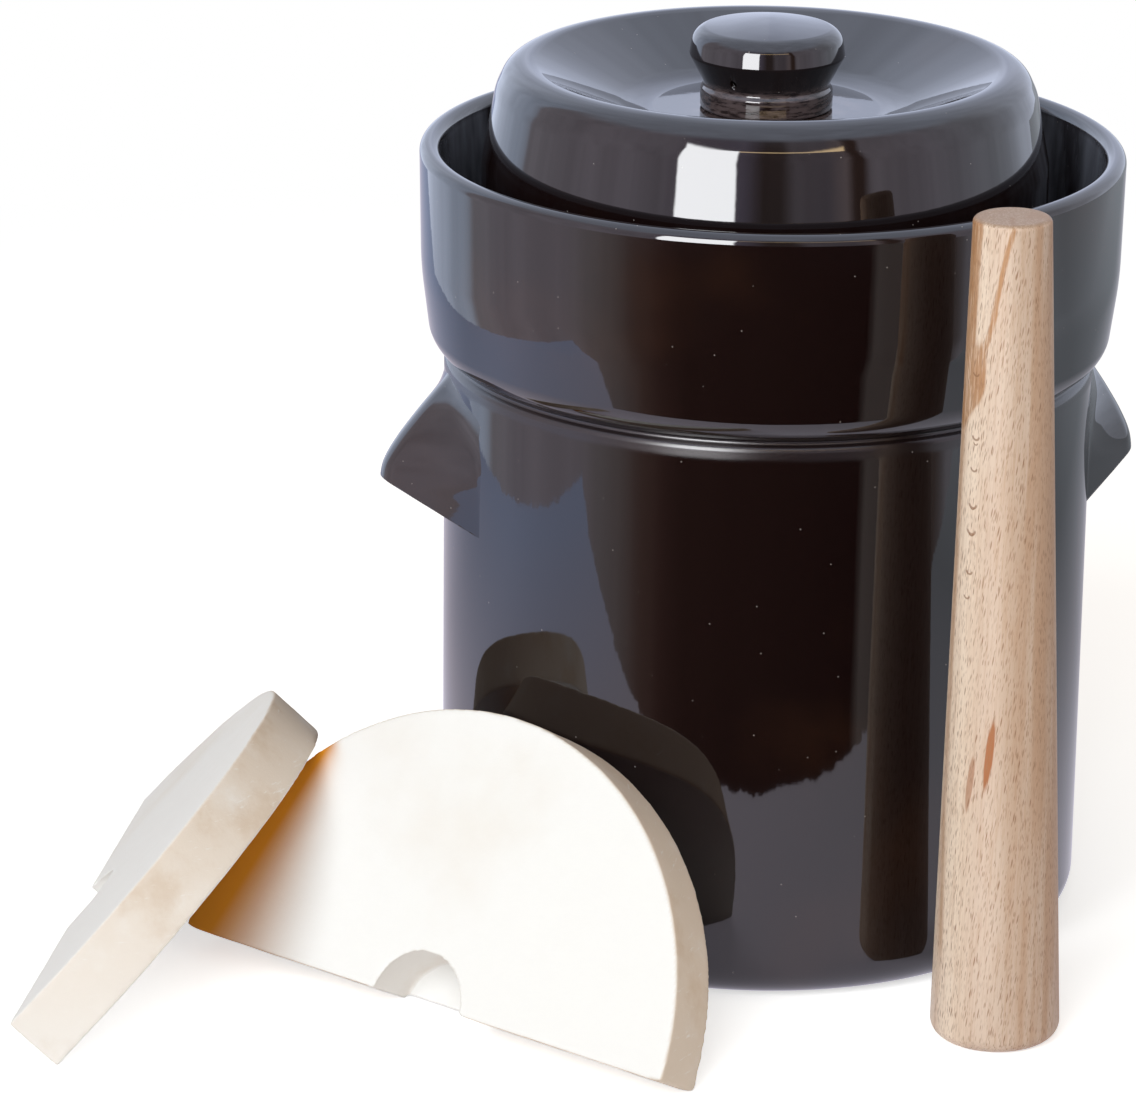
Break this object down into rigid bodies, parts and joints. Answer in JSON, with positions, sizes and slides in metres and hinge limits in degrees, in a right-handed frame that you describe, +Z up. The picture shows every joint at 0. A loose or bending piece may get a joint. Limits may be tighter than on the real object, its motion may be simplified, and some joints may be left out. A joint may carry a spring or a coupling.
{
  "type": "water seal pickle jar",
  "caption": "Glazed stoneware fermenting crock with a water channel round its rim, hooded side handles, a dished lid with a knob, half-disc weight stones and a tapered wooden pounder.",
  "frame": {"origin": "centre of the crock's flat base, on the floor", "axes": "+Z up, -Y towards the viewer, +X to the viewer's right"},
  "size_m": [0.3503, 0.3004, 0.2949],
  "materials": {
    "dark_glaze": "gloss",
    "bare_clay": "matte",
    "beech": "sanded"
  },
  "bodies": {
    "crock": {"crock_body": "dark_glaze", "handle_left": "dark_glaze", "handle_right": "dark_glaze"},
    "lid": {"lid_shell": "dark_glaze", "lid_knob": "dark_glaze"},
    "front_stone": {"weight_stone_front": "bare_clay"},
    "leaning_stone": {"weight_stone_leaning": "bare_clay"},
    "pounder": {"pounder": "beech"}
  },
  "joints": [
    {"name": "lid_lift", "type": "slide", "parent": "crock", "child": "lid", "axis": [0, 0, 1], "range_m": [0, 0.09]},
    {"name": "front_stone_lift", "type": "slide", "parent": "crock", "child": "front_stone", "axis": [-0.4449, -0.5499, 0.7069], "range_m": [0, 0.1]},
    {"name": "leaning_stone_lift", "type": "slide", "parent": "front_stone", "child": "leaning_stone", "axis": [-0.7033, 0.072, 0.7073], "range_m": [0, 0.08]},
    {"name": "pounder_lift", "type": "slide", "parent": "crock", "child": "pounder", "axis": [0, 0, 1], "range_m": [0, 0.12]}
  ]
}
